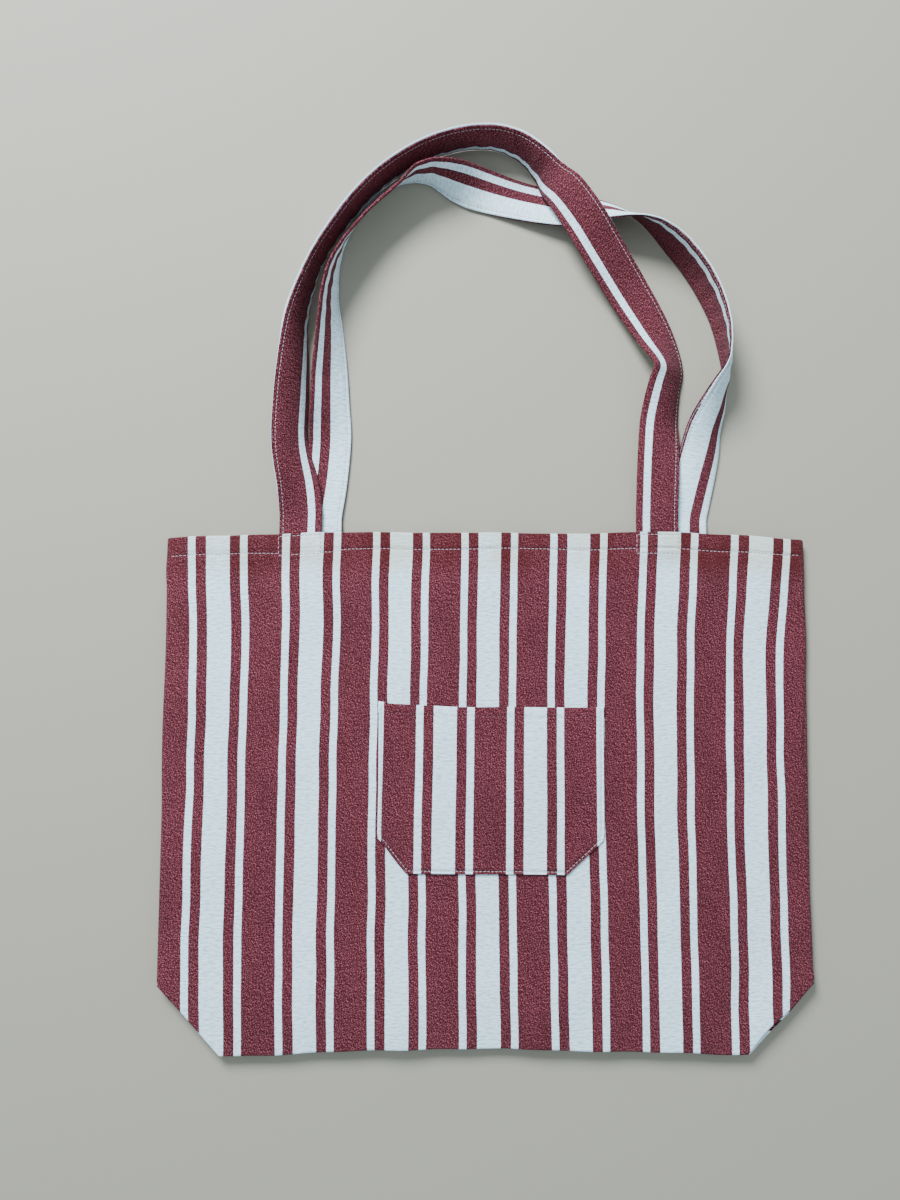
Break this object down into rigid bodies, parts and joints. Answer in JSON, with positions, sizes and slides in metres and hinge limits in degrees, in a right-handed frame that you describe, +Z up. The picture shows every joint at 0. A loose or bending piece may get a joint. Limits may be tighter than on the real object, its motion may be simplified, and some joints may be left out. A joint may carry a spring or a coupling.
{
  "type": "canvas tote bag",
  "caption": "Striped canvas tote bag lying flat, with two long strap handles, a boxed bottom folded in and a patch pocket on the front.",
  "frame": {"origin": "on the ground under the middle of the bag's body, on the flat underside of the back panel", "axes": "+X to the bag's right seen from the front, +Y from the bottom edge towards the handles, +Z up out of the front face"},
  "size_m": [0.48, 0.6843, 0.0352],
  "materials": {
    "striped_canvas": "yarn-dyed red and white striped cotton canvas",
    "strap_canvas": "the same striped canvas folded into straps",
    "thread": "pale cotton sewing thread"
  },
  "bodies": {
    "bag": {"back_panel": "striped_canvas", "bottom_back_half": "striped_canvas", "bottom_front_half": "striped_canvas", "left_side_seam": "striped_canvas", "right_side_seam": "striped_canvas", "left_corner_seam": "striped_canvas", "right_corner_seam": "striped_canvas", "bottom_seam": "striped_canvas", "back_hem": "striped_canvas", "back_strap_end_left": "strap_canvas", "back_strap_end_right": "strap_canvas", "back_box_stitch_left": "thread", "back_box_stitch_right": "thread"},
    "front": {"front_panel": "striped_canvas", "front_hem": "striped_canvas", "front_hem_stitch": "thread", "pocket": "striped_canvas", "pocket_hem": "striped_canvas", "pocket_stitch": "thread", "pocket_hem_stitch": "thread", "front_strap_end_left": "strap_canvas", "front_strap_end_right": "strap_canvas", "front_box_stitch_left": "thread", "front_box_stitch_right": "thread"},
    "front_handle": {"front_strap": "strap_canvas", "front_strap_stitch": "thread"},
    "back_handle": {"back_strap": "strap_canvas", "back_strap_stitch": "thread"}
  },
  "joints": [
    {"name": "mouth_open", "type": "hinge", "parent": "bag", "child": "front", "pos_m": [0, -0.19, 0.009], "axis": [1, 0, 0], "range_deg": [0, 8]},
    {"name": "front_handle_fold", "type": "hinge", "parent": "front", "child": "front_handle", "pos_m": [0, 0.192, 0.0095], "axis": [1, 0, 0], "range_deg": [0, 150]},
    {"name": "back_handle_fold", "type": "hinge", "parent": "bag", "child": "back_handle", "pos_m": [0, 0.192, -0.0005], "axis": [1, 0, 0], "range_deg": [-150, 0]}
  ]
}
